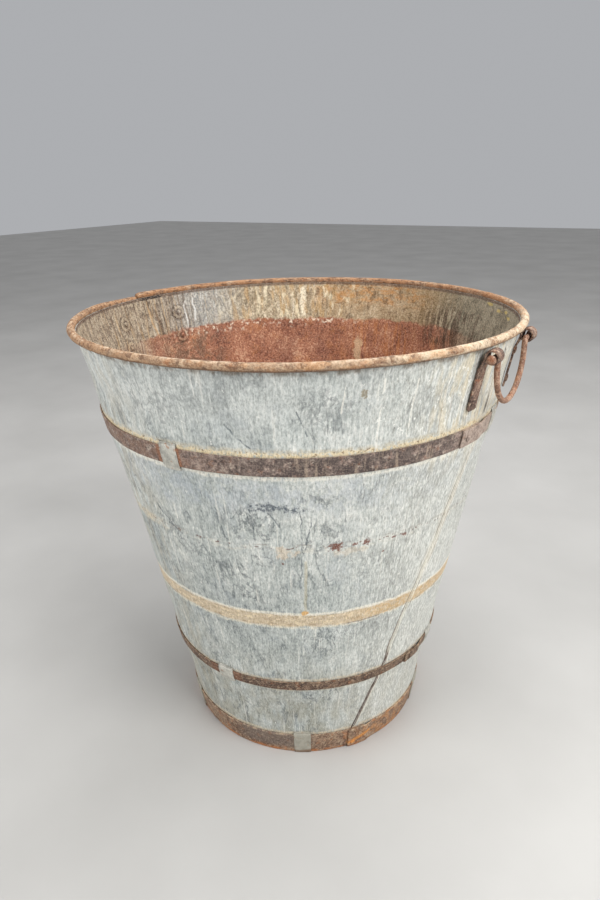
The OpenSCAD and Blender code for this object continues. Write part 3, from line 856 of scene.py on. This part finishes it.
OUTSIDE = galvanised_outside()
INSIDE = rusted_inside()
PLATE = rusted_plate()
ZINC = soldered_zinc()
RIM = iron(
    "rim_rust", (106, 74, 54), (158, 122, 92), (198, 168, 136), (172, 116, 76),
    dust=(212, 190, 160), dusty=0.3, lump=(18, 6), seed=100, layers=rim_layers,
)
UPPER_HOOP_IRON = iron(
    "upper_hoop_iron", (76, 64, 60), (124, 106, 98), (166, 146, 134), (144, 100, 74),
    dust=(200, 184, 168), seed=110, layers=upper_hoop_layers,
)
LOWER_HOOP_IRON = iron(
    "lower_hoop_iron", (62, 46, 38), (94, 72, 58), (132, 108, 88), (134, 84, 54),
    dust=(176, 152, 126), seed=120, layers=lower_hoop_layers,
)
FOOT_HOOP_IRON = iron(
    "foot_hoop_iron", (92, 66, 50), (132, 104, 84), (168, 142, 116), (176, 112, 66),
    dust=(194, 172, 144), seed=130, layers=foot_hoop_layers,
)
BRACKET_IRON = iron(
    "bracket_iron", (66, 50, 44), (114, 88, 76), (162, 134, 116), (168, 104, 66),
    dust=(198, 172, 148), seed=140,
)
HANDLE_IRON = iron(
    "handle_iron", (108, 76, 60), (150, 110, 88), (184, 148, 124), (172, 110, 74),
    dust=(204, 176, 150), dusty=0.4, roughness=0.7, seed=150,
)


# ---------------------------------------------------------------- the wall

# Creases and dents: where each starts and ends, its half width and its depth
CREASES = (
    ((-74.5, 660), (-67.0, 612), 11, 3.2),
    ((-58.0, 676), (-54.6, 626), 10, 2.6),
    ((-30.0, 540), (-34.0, 500), 14, 2.0),
    ((-104.0, 500), (-96.0, 458), 12, 2.0),
    ((-66.0, 520), (-60.0, 490), 16, 2.2),
    ((150.0, 420), (141.0, 380), 14, 2.4),
    ((60.0, 680), (66.0, 640), 14, 2.2),
    ((105.0, 280), (99.0, 240), 12, 2.0),
)
WAVE_SIZE = 140
WAVE_DEPTH = 2.6
DINT_SIZE = 45
DINT_DEPTH = 0.9
STIFF = (UPPER_HOOP, LOWER_HOOP, FOOT_HOOP, (WALL_H - 18, WALL_H))


def crease_depth(az, z, start, end, half_w, depth):
    """How far one crease pushes the wall in at a place."""
    r = wall_r(z)
    ax = math.radians((az - start[0] + 180) % 360 - 180) * r
    bx = math.radians(end[0] - start[0]) * r
    bz = end[1] - start[1]
    t = min(max((ax * bx + (z - start[1]) * bz) / (bx * bx + bz * bz), 0.0), 1.0)
    far = math.hypot(ax - bx * t, z - start[1] - bz * t)
    return depth * math.exp(-((far / half_w) ** 2))


def dent_depth(az, z):
    """How far the sheet is pushed in at a place: nothing where a hoop or the rim holds it."""
    give = min(smooth(min(abs(z - low), abs(z - high)), 4, 50) for low, high in STIFF)
    p = wall_point(az, z)
    depth = WAVE_DEPTH * (0.5 + 0.8 * wander(p, WAVE_SIZE, 5.0))
    depth += DINT_DEPTH * (0.5 + 0.9 * wander(p, DINT_SIZE, 9.0))
    depth = max(depth, 0.0) * give
    held = min(smooth(min(abs(z - low), abs(z - high)), 1, 10) for low, high in STIFF)
    return depth + held * sum(crease_depth(az, z, *crease) for crease in CREASES)


def fold_height(arc, z):
    """How far the folded seam stands out, at a distance from the seam line."""
    shape = smooth(arc, 0.2, 0.9) - smooth(arc, SEAM_W - 0.9, SEAM_W - 0.1)
    clear = 1.0
    for low, high in STIFF:
        clear *= max(smooth(z, high, high + 3), smooth(z, low, low - 3)) if low > 0 else 1.0
    clear *= smooth(z, FOOT_HOOP[1], FOOT_HOOP[1] + 3)
    return SEAM_PROUD * shape * clear


def wall_sheet(name, half, node):
    """Half of the wall from one seam round to the other, with its fold along the first."""
    arcs = [0, 0.4, 0.8, 1.2, 3.5, 5.8, 6.2, 6.6, 7.0, 8.5, 11]
    plain = 230
    heights = [*range(0, int(WALL_H - 1), 5), WALL_H]
    outer, inner = [], []
    for z in heights:
        r = wall_r(z)
        whole = math.pi * r
        rest = [arcs[-1] + (whole - arcs[-1]) * (k + 1) / plain for k in range(plain)]
        for arc in arcs + rest:
            az = half + seam_az(z) + math.degrees(arc / r)
            depth = dent_depth(az, z)
            outer.append(wall_point(az, z, fold_height(arc, z) - depth))
            inner.append(wall_point(az, z, -SHEET_T - depth))
    cols = len(arcs) + plain
    rows = len(heights)
    count = len(outer)
    faces = grid_faces(rows, cols)
    outside = len(faces)
    faces += [face[::-1] for face in grid_faces(rows, cols, start=count)]
    inside = len(faces)
    last = (rows - 1) * cols
    for j in range(cols - 1):
        faces.append((count + j, count + j + 1, j + 1, j))
        faces.append((last + j, last + j + 1, count + last + j + 1, count + last + j))
    for i in range(rows - 1):
        a, b = i * cols, (i + 1) * cols
        faces.append((a, b, count + b, count + a))
        faces.append((b + cols - 1, a + cols - 1, count + a + cols - 1, count + b + cols - 1))
    piece = make_piece(name, (outer + inner, faces), [OUTSIDE, INSIDE], node)
    for i, face in enumerate(piece.data.polygons):
        face.material_index = 1 if outside <= i < inside else 0
        face.use_smooth = i < inside
    return piece


wall_sheet("front_sheet", 180, "wall_sheet_front")
wall_sheet("rear_sheet", 0, "wall_sheet_rear")


def bottom_plate():
    """The pressed bottom: a disc, a little dished by use, with its flange turned down."""
    edge = wall_r(PLATE_Z) - SHEET_T
    top = PLATE_Z + SHEET_T
    bend = 4
    rows = 24
    profile = [(1, top)]
    profile += [(edge * k / rows, top) for k in range(1, rows)]
    profile += [(edge - 0.4, top), (edge - 0.6, PLATE_Z - bend / 2)]
    profile += [(wall_r(1) - SHEET_T - 0.2, 1), (wall_r(1) - 2 * SHEET_T, 1)]
    profile += [(edge - SHEET_T - 0.6, PLATE_Z - bend), (edge - SHEET_T - bend, PLATE_Z)]
    profile += [(edge * k / rows, PLATE_Z) for k in range(rows - 2, 0, -1)] + [(1, PLATE_Z)]
    verts, faces = turned(profile[::-1], Matrix.Identity(4), steps=120)
    sagged = []
    for v in verts:
        r = math.hypot(v.x, v.y)
        slack = smooth(r, edge - bend, edge - 60) if v.z > PLATE_Z - bend else 0.0
        sagged.append(v - Vector((0, 0, slack * (3 + 2.5 * wander(Vector((v.x, v.y, 0)), 90, 3.0)))))
    make_piece("bottom_plate_skin", (sagged, faces), [PLATE], "bottom_plate")


bottom_plate()


# ---------------------------------------------------------------- rim bar, hoops and keepers

def rim_bar():
    """Round bar bent to a ring, its ends butted with one end sprung up and the other sagging."""
    slack = 0.05
    ring_r = TOP_R + math.sqrt(RIM_R ** 2 - (RIM_Z - WALL_H) ** 2) + slack
    gap = 0.2
    steps = 420
    rings = []
    for i in range(steps + 1):
        turn = gap + (360 - 2 * gap) * i / steps
        az = math.radians(RIM_JOINT + turn)
        out = Vector((math.cos(az), math.sin(az), 0))
        sagging = 1 - smooth(turn, 0, 22)
        centre = out * (ring_r + 1.6 * sagging) + Vector((0, 0, RIM_Z))
        centre.z += 0.8 * smooth(turn, 345, 358) - 0.9 - 4.5 * sagging
        centre.z += 0.4 * wander(centre, 120, 2.0) * (1 - smooth(turn, 335, 350))
        bar_r = (RIM_R - slack) * (0.8 if i in (0, steps) else 1)
        rings.append([centre + out * x - Vector((0, 0, y)) for x, y in circle(bar_r, 18)])
    make_piece("rim_bar_ring", roughened(sweep(rings), 18, 0.8, 4.0), [RIM], "rim_bar")


rim_bar()


def hoop(name, heights, turn, material):
    """A flat strap bent round the wall, its outer end stepped out over its inner end."""
    low, high = heights
    middle, width = (low + high) / 2, high - low
    outline = rounded_box(HOOP_T, width, 0.8)
    start = turn + LAP_INNER_END + 360 - 0.1
    end = turn + LAP_START
    steps = 400
    rings = []
    for i in range(steps + 1):
        az = start + (end - start) * i / steps
        lift = (HOOP_T + LAP_GAP) * smooth(az, turn - 0.6, turn + LAP_INNER_END + 0.6)
        blunt = 0.7 if i in (0, steps) else 1.0
        p = wall_point(az, middle)
        ring = []
        for out, up in outline:
            z = middle + up * (1 - (1 - blunt) * 0.08)
            z += (0.7 * wander(p, 30, 1 + z / 25) - 0.7) * (1 if up > 0 else -1)
            out = HOOP_FIT + HOOP_T / 2 + lift + out * blunt
            ring.append(wall_point(az, max(z, 0.02), out))
        rings.append(ring)
    make_piece(name + "_strap", roughened(sweep(rings), 9, 0.5, 6.0), [material], name)


hoop("upper_hoop", UPPER_HOOP, 0, UPPER_HOOP_IRON)
hoop("lower_hoop", LOWER_HOOP, 0, LOWER_HOOP_IRON)
hoop("foot_hoop", FOOT_HOOP, FOOT_LAP_TURN, FOOT_HOOP_IRON)


def hammered_head(place, base, radius, height, seed):
    """A rivet's head: a low dome with a rolled edge, hammered off true."""
    profile = [(0.3, base - 0.6), (radius * 0.9, base - 0.6), (radius, base + 0.2 * height)]
    profile += [
        (radius * math.cos(math.radians(a)), base + height * (0.2 + 0.8 * math.sin(math.radians(a))))
        for a in (15, 30, 45, 60, 75)
    ]
    profile.append((0.3, base + height))
    return roughened(turned(profile, place), 4, 0.5, seed)


def hoop_rivets(node, heights, turn, material):
    """The rivets in one hoop's lap."""
    stack = (HOOP_FIT + 2 * HOOP_T + LAP_GAP) * math.cos(TAPER)
    heads = [hammered_head(on_wall(turn + LAP_RIVET, z), stack, 5, 2.5, z / 20) for z in heights]
    make_piece(node + "_head", joined(heads), [material], node)


hoop_rivets("upper_hoop_rivet", [sum(UPPER_HOOP) / 2], 0, UPPER_HOOP_IRON)
hoop_rivets("lower_hoop_rivet", [sum(LOWER_HOOP) / 2], 0, LOWER_HOOP_IRON)
hoop_rivets("foot_hoop_rivets", FOOT_RIVET_Z, FOOT_LAP_TURN, FOOT_HOOP_IRON)


def rounded_path(points, cuts=3):
    """The path with its corners cut again and again until they are round."""
    for _ in range(cuts):
        cut = [points[0]]
        for a, b in zip(points, points[1:]):
            cut += [a.lerp(b, 0.25), a.lerp(b, 0.75)]
        points = cut + [points[-1]]
    return points


def keeper_path(low, high, low_flange):
    """A keeper's section up the wall, as points of how far out and how high."""
    off_wall = 0.1
    base = HOOP_FIT + HOOP_T + off_wall
    step = 1.8
    path = []
    if low_flange:
        path += [(off_wall, low - KEEPER_FLANGE), (off_wall, low - step)]
    path += [(base, low + (0 if low_flange else 0.3)), (base, high)]
    path += [(off_wall, high + step), (off_wall, high + KEEPER_FLANGE)]
    return rounded_path([Vector((out, z)) for out, z in path])


def keeper(node, heights, az, low_flange):
    """A strap of sheet dressed down over a hoop and soldered to the wall past its edges."""
    low, high = heights
    path = keeper_path(low, high, low_flange)
    half = math.degrees(KEEPER_W / 2 / wall_r(low))
    off_floor = 0.05
    rings = []
    steps = 14
    for i in range(steps + 1):
        side = 2 * i / steps - 1
        near_edge = smooth(abs(side), 0.7, 1.0)
        turn = az + half * side
        inner, outer = [], []
        for k, p in enumerate(path):
            before, after = path[max(k - 1, 0)], path[min(k + 1, len(path) - 1)]
            along = (after - before).normalized()
            bead = 1.0 if k in (0, len(path) - 1) else 0.0
            thick = SHEET_T * (1 - 0.35 * near_edge) * (1 - 0.5 * bead)
            here = wall_point(turn, p.y)
            solder = 1.4 * smooth(abs(p.y - (low + high) / 2), (high - low) / 2, (high - low) / 2 + 3)
            solder *= (1 - near_edge) * max(0.0, 0.6 + wander(here, 9, az)) * (1 - bead)
            ragged = 1.2 * wander(here, 12, az + 3) * bead
            z = max(p.y - near_edge * 1.5 * bead * (1 if k else -1) + ragged, off_floor)
            out = p.x + along.y * thick + solder
            outer.append(wall_point(turn, max(z - along.x * thick, off_floor), out))
            inner.append(wall_point(turn, z, p.x))
        rings.append(inner + outer[::-1])
    make_piece(node + "_strap", sweep(rings), [ZINC], node)


for number, az in enumerate(KEEPERS, 1):
    keeper(f"upper_keeper_{number}", UPPER_HOOP, az, True)
    keeper(f"lower_keeper_{number}", LOWER_HOOP, az, True)
for number, az in enumerate(FOOT_KEEPERS, 1):
    keeper(f"foot_keeper_{number}", FOOT_HOOP, az, False)


# ---------------------------------------------------------------- brackets and handles

def bracket_path():
    """The middle of the strap, up the wall, out at a neck and round the eye, with its width's direction."""
    eye_az = math.atan2(EYE_Y, EYE_X)
    mid_r = EYE_R + STRAP_T / 2
    radial = Vector((math.cos(eye_az), math.sin(eye_az), 0))
    tangent = Vector((-math.sin(eye_az), math.cos(eye_az), 0))
    across = Vector((0, 1, 0))
    foot = STRAP_Z + STRAP_CHAMFER
    plate_steps, neck_steps, curl_steps = 14, 7, 24
    curl_start, curl_turn = 185, 335
    path = []
    for z in [STRAP_Z] + [foot + (NECK_Z - 4 - foot) * k / plate_steps for k in range(plate_steps + 1)]:
        path.append((radial * (wall_r(z) + STRAP_GAP + STRAP_T / 2) + Vector((0, 0, z)), tangent))
    centre = Vector((EYE_X, EYE_Y, EYE_Z))
    curl = []
    for k in range(curl_steps + 1):
        a = math.radians(curl_start - curl_turn * k / curl_steps)
        curl.append((centre + Vector((mid_r * math.cos(a), 0, mid_r * math.sin(a))), across))
    start, end = path[-1][0], curl[0][0]
    rise = Vector((radial.x * math.sin(TAPER), radial.y * math.sin(TAPER), math.cos(TAPER)))
    reach = (end - start).length
    for k in range(1, neck_steps):
        t = k / neck_steps
        a = start + rise * (reach * 0.4 * t)
        b = end - Vector((0, 0, 1)) * (reach * 0.4 * (1 - t))
        path.append((a.lerp(b, smooth(t, 0, 1)), tangent.lerp(across, t).normalized()))
    return path + curl


def bracket(node, side, left):
    """An iron strap up the wall, bent out at a neck, its end curled to an eye round the handle's pin."""
    path = bracket_path()
    outline = rounded_box(STRAP_T, STRAP_W, 1.1)
    rings = []
    for k, (p, wide) in enumerate(path):
        ahead = path[min(k + 1, len(path) - 1)][0] - path[max(k - 1, 0)][0]
        thick = ahead.normalized().cross(wide).normalized() * -1
        narrow = 1 - 2 * STRAP_CHAMFER / STRAP_W if k == 0 else 1.0
        thin = 1.0 if 0 < k < len(path) - 1 else 0.7
        rings.append([p + thick * (t * thin) + wide * (w * narrow) for t, w in outline])
    verts, faces = roughened(sweep(rings), 10, 0.5, 8.0 + side)
    if side < 0:
        verts = [Vector((v.x, -v.y, v.z)) for v in verts]
        faces = [face[::-1] for face in faces]
    if left:
        verts = half_turned(verts)
    make_piece(node + "_iron", (verts, faces), [BRACKET_IRON], node)


bracket("bracket_right_front", -1, False)
bracket("bracket_right_rear", 1, False)
bracket("bracket_left_front", 1, True)
bracket("bracket_left_rear", -1, True)


def bracket_places(left):
    """Places on the wall of one side's four bracket rivets."""
    eye_az = math.degrees(math.atan2(EYE_Y, EYE_X))
    turn = 180 if left else 0
    return [on_wall(turn + side * eye_az, z) for side in (-1, 1) for z in STRAP_RIVET_Z]


def bracket_rivets(side_name, left):
    """Four rivets: a domed head on the strap, and a tail hammered over its washer."""
    parts = []
    for number, place in enumerate(bracket_places(left)):
        parts.append(hammered_head(place, STRAP_T * math.cos(TAPER), 6, 2.2, number + 1.5))
        flipped = place @ Matrix.Rotation(math.pi, 4, "X")
        parts.append(hammered_head(flipped, WASHER_IN, 5, 3.3, number + 7.5))
    node = "bracket_rivets_" + side_name
    piece = make_piece(node + "_heads", joined(parts), [BRACKET_IRON, INSIDE], node)
    for face in piece.data.polygons:
        middle = face.center / MM
        if math.hypot(middle.x, middle.y) < wall_r(middle.z):
            face.material_index = 1


def washers(side_name, left):
    """Washers under the rivet tails: thick rings, a little dished, with worn edges."""
    back, front = -SHEET_T - 0.35, -WASHER_IN
    profile = (
        (3.1, back), (13.2, back), (13.9, back - 0.5), (13.6, front + 0.5),
        (12.6, front), (6, front - 0.1), (3.1, front),
    )
    parts = []
    for number, place in enumerate(bracket_places(left)):
        verts, faces = turned(profile, place, steps=40, closed=True)
        parts.append(roughened((verts, [face[::-1] for face in faces]), 6, 0.25, number + 2.5))
    node = "washers_" + side_name
    make_piece(node + "_rings", joined(parts), [INSIDE], node)


for side_name, left in (("right", False), ("left", True)):
    bracket_rivets(side_name, left)
    washers(side_name, left)


def handle(node, left):
    """Round bar bent to a U, its ends turned out through the eyes and upset to heads."""
    path = []
    inner_face = HEAD_Y - 5
    for y in (inner_face, inner_face - 8, inner_face - 16, LEG_Y + ELBOW_R):
        path.append((y, PIVOT_Z))
    for k in range(1, 9):
        a = math.radians(90 + 90 * k / 8)
        path.append((LEG_Y + ELBOW_R + ELBOW_R * math.cos(a), PIVOT_Z - ELBOW_R + ELBOW_R * math.sin(a)))
    path.append((LEG_Y, (PIVOT_Z - ELBOW_R + BOW_Z) / 2))
    for k in range(0, 33):
        a = math.radians(-90 * k / 32)
        path.append((LEG_Y * math.cos(a), BOW_Z + LEG_Y * math.sin(a)))
    path += [(-y, z) for y, z in path[-2::-1]]
    points = [Vector((EYE_X, y, z)) for y, z in path]
    rings = []
    for k, p in enumerate(points):
        ahead = (points[min(k + 1, len(points) - 1)] - points[max(k - 1, 0)]).normalized()
        sideways = ahead.cross(Vector((1, 0, 0)))
        rings.append([p + Vector((x, 0, 0)) + sideways * y for x, y in circle(BAR_R, 20)])
    parts = [roughened(sweep(rings), 14, 0.4, 12.0)]
    profile = (
        (0.3, -0.2), (HEAD_R * 0.86, 0.0), (HEAD_R * 0.98, 0.9), (HEAD_R, 1.8),
        (HEAD_R * 0.94, 2.9), (HEAD_R * 0.78, 3.9), (HEAD_R * 0.5, 4.6), (0.3, 4.9),
    )
    for side in (1, -1):
        outwards = Matrix.Rotation(-side * math.pi / 2, 4, "X")
        place = Matrix.Translation((EYE_X, side * inner_face, PIVOT_Z)) @ outwards
        parts.append(roughened(turned(profile, place), 5, 0.7, 20.0 + side))
    verts, faces = joined(parts)
    if left:
        verts = half_turned(verts)
    make_piece(node + "_bar", (verts, faces), [HANDLE_IRON], node, body=node)


handle("handle_right", False)
handle("handle_left", True)


# ---------------------------------------------------------------- floor, lights and camera

def floor():
    """A plain pale floor, faintly mottled."""
    half = 12.0
    corners = [(-half, -half, 0), (half, -half, 0), (half, half, 0), (-half, half, 0)]
    plane = new_object("floor", new_mesh("floor", corners, [(0, 1, 2, 3)]))
    material = bpy.data.materials.new("pale_floor")
    material.use_nodes = True
    tree = material.node_tree
    shader = tree.nodes["Principled BSDF"]
    shader.inputs["Roughness"].default_value = 0.8
    place = tree.nodes.new("ShaderNodeTexCoord")
    mottle = tree.nodes.new("ShaderNodeTexNoise")
    mottle.inputs["Scale"].default_value = 2.5
    mottle.inputs["Detail"].default_value = 6.0
    tint = tree.nodes.new("ShaderNodeValToRGB")
    dark, light = tint.color_ramp.elements
    dark.position = 0.3
    dark.color = srgb(186, 184, 180)
    light.position = 0.7
    light.color = srgb(198, 196, 192)
    tree.links.new(place.outputs["Object"], mottle.inputs["Vector"])
    tree.links.new(mottle.outputs[0], tint.inputs["Fac"])
    tree.links.new(tint.outputs[0], shader.inputs["Base Color"])
    plane.data.materials.append(material)


def soft_light(name, az, distance, height, size, power, target_z=0.4):
    """A square soft box that faces the tub."""
    light = bpy.data.lights.new(name, "AREA")
    light.size = size
    light.energy = power
    lamp = new_object(name, light)
    a = math.radians(az)
    lamp.location = (distance * math.cos(a), distance * math.sin(a), height)
    aim = Vector((0, 0, target_z)) - lamp.location
    lamp.rotation_euler = aim.to_track_quat("-Z", "Y").to_euler()


CAMERA_AZ = -56.25
CAMERA_DISTANCE = 1.1249
CAMERA_HEIGHT = 0.9343
CAMERA_PAN = 0.08
CAMERA_TILT = 21.82
CAMERA_ROLL = -1.404
CAMERA_LENS = 27.2876


def camera():
    """The camera that took the view: above the rim, looking down."""
    data = bpy.data.cameras.new("camera")
    data.sensor_fit = "VERTICAL"
    data.sensor_height = 36
    data.lens = CAMERA_LENS
    view = new_object("camera", data)
    a = math.radians(CAMERA_AZ)
    place = Matrix.Translation((CAMERA_DISTANCE * math.cos(a), CAMERA_DISTANCE * math.sin(a), CAMERA_HEIGHT))
    turn = Matrix.Rotation(math.radians(CAMERA_AZ + 90 + CAMERA_PAN), 4, "Z")
    tilt = Matrix.Rotation(math.radians(90 - CAMERA_TILT), 4, "X")
    roll = Matrix.Rotation(math.radians(CAMERA_ROLL), 4, "Z")
    view.matrix_world = place @ turn @ tilt @ roll
    bpy.context.scene.camera = view


def sky():
    """Even pale light from all round."""
    world = bpy.data.worlds.new("studio")
    world.use_nodes = True
    background = world.node_tree.nodes["Background"]
    background.inputs["Color"].default_value = srgb(214, 216, 220)
    background.inputs["Strength"].default_value = 0.62
    bpy.context.scene.world = world


floor()
sky()
soft_light("key", -12, 3.0, 2.5, 2.2, 100)
soft_light("fill", -120, 3.2, 1.8, 2.6, 55)
soft_light("top", 60, 0.6, 3.2, 2.4, 55, target_z=0.7)
camera()
bpy.context.scene.view_settings.view_transform = "Standard"
